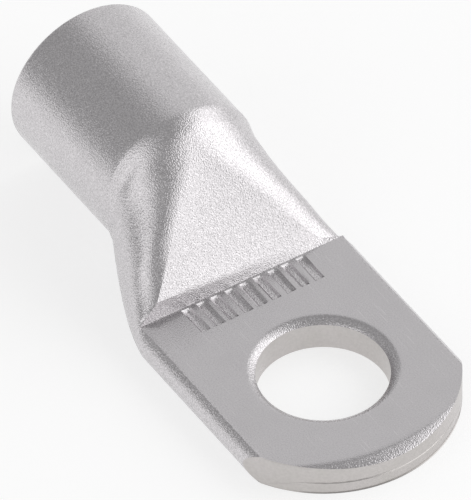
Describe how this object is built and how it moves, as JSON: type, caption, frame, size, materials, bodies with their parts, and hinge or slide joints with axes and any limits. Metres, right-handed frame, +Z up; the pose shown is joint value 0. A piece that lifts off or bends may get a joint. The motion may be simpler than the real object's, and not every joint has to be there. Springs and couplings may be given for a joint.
{
  "type": "cable lug",
  "caption": "Tubular cable lug: a round barrel for the cable, pressed flat through a sloping neck into a palm with a stud hole and a round tip.",
  "frame": {"origin": "on the stud hole's axis, in the plane of the palm's underside", "axes": "+X from the barrel's mouth towards the palm's tip, +Y across the palm, +Z up along the stud hole's axis, away from the underside"},
  "size_m": [0.0361, 0.016, 0.0111],
  "materials": {
    "tinned_copper": "satin tin plating over copper, finely grained"
  },
  "bodies": {
    "root": {"cable_lug": "tinned_copper"}
  },
  "joints": []
}
